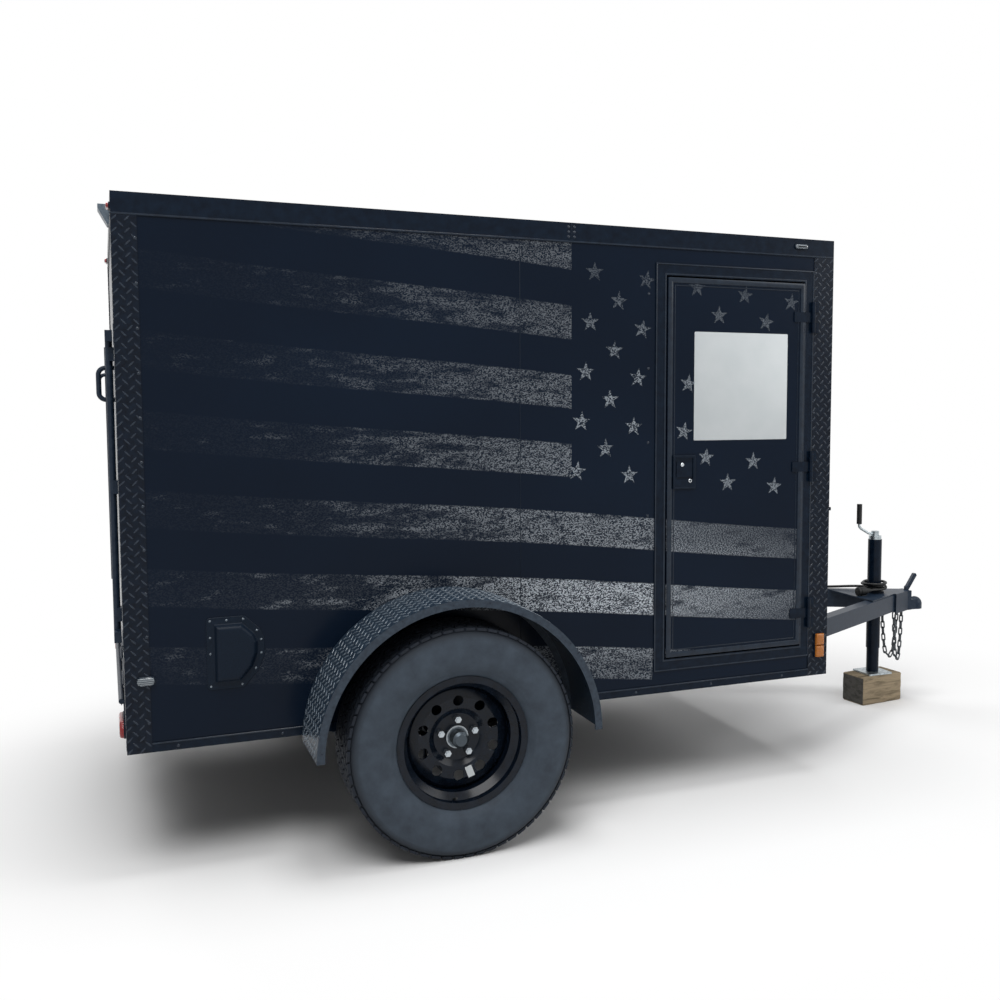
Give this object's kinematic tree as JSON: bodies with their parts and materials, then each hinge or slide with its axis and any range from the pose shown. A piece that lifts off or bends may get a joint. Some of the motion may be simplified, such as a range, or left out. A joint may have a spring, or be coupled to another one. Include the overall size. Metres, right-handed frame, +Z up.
{
  "type": "enclosed cargo trailer",
  "caption": "Enclosed single-axle cargo trailer with a rear ramp, a side door and an A-frame tongue, parked on its jack.",
  "frame": {"origin": "on the floor, at the middle of the bounding box", "axes": "+X forward to the coupler, +Y to the left side, +Z up"},
  "size_m": [3.571, 2.032, 1.99],
  "materials": {
    "frame_paint": "semi-gloss black paint",
    "body_skin": "gloss navy black skin with a worn flag print",
    "roof_sheet": "plain sheet",
    "deck_ply": "plywood",
    "treadplate": "black treadplate",
    "black_trim": "black trim",
    "zinc": "zinc plate",
    "grip_rubber": "black rubber",
    "timber": "weathered softwood",
    "tyre_rubber": "black rubber",
    "wheel_paint": "gloss black paint",
    "amber_lens": "amber lens",
    "clear_lens": "clear lens",
    "red_lens": "red lens"
  },
  "bodies": {
    "trailer": {"amber_markers": "amber_lens", "axle_beam": "frame_paint", "axle_clamps": "frame_paint", "cable_coil": "grip_rubber", "cable_gland": "grip_rubber", "cable_plug": "grip_rubber", "clear_markers": "clear_lens", "corner_posts": "treadplate", "coupler": "frame_paint", "coupler_latch": "frame_paint", "crank_grip": "grip_rubber", "crossmembers": "frame_paint", "door_hinge_pins": "black_trim", "end_rails": "frame_paint", "fender_left": "treadplate", "fender_right": "treadplate", "floor_deck": "deck_ply", "jack_block": "timber", "jack_crank": "zinc", "jack_plate": "frame_paint", "jack_tube": "frame_paint", "leaf_springs": "frame_paint", "light_cable": "grip_rubber", "loading_lamp": "clear_lens", "lock_keepers": "zinc", "plate_bracket": "zinc", "ramp_hinge_pin": "frame_paint", "rear_frame": "frame_paint", "roof_band": "black_trim", "roof_panel": "roof_sheet", "safety_chains": "zinc", "side_door_frame": "black_trim", "side_rails": "frame_paint", "side_vents": "black_trim", "skirt_strips": "black_trim", "spring_hangers": "frame_paint", "stone_guard": "treadplate", "tail_lamps": "red_lens", "tongue_rail_left": "frame_paint", "tongue_rail_right": "frame_paint", "wall_front": "body_skin", "wall_left": "body_skin", "wall_right": "body_skin"},
    "wheel_left": {"tyre_left": "tyre_rubber", "rim_left": "wheel_paint", "hub_left": "zinc"},
    "wheel_right": {"tyre_right": "tyre_rubber", "rim_right": "wheel_paint", "hub_right": "zinc"},
    "side_door": {"side_door": "body_skin", "side_door_latch": "black_trim", "door_hinge_straps": "black_trim"},
    "ramp_door": {"ramp_door": "body_skin", "ramp_hinge_leaves": "frame_paint", "bar_locks": "zinc", "pull_handles": "black_trim"},
    "jack_leg": {"jack_leg": "frame_paint", "jack_foot": "zinc"}
  },
  "joints": [
    {"name": "wheel_left_spin", "type": "hinge", "parent": "trailer", "child": "wheel_left", "pos_m": [-0.7865, 0.9, 0.3595], "axis": [0, 1, 0], "continuous": true},
    {"name": "wheel_right_spin", "type": "hinge", "parent": "trailer", "child": "wheel_right", "pos_m": [-0.7865, -0.9, 0.3595], "axis": [0, 1, 0], "continuous": true},
    {"name": "side_door_hinge", "type": "hinge", "parent": "trailer", "child": "side_door", "pos_m": [0.6135, -0.771, 1.166], "axis": [0, 0, 1], "range_deg": [0, 150]},
    {"name": "ramp_hinge", "type": "hinge", "parent": "trailer", "child": "ramp_door", "pos_m": [-1.7445, 0, 0.515], "axis": [0, -1, 0], "range_deg": [0, 112]},
    {"name": "jack_leg_slide", "type": "slide", "parent": "trailer", "child": "jack_leg", "axis": [0, 0, 1], "range_m": [0, 0.105]}
  ]
}
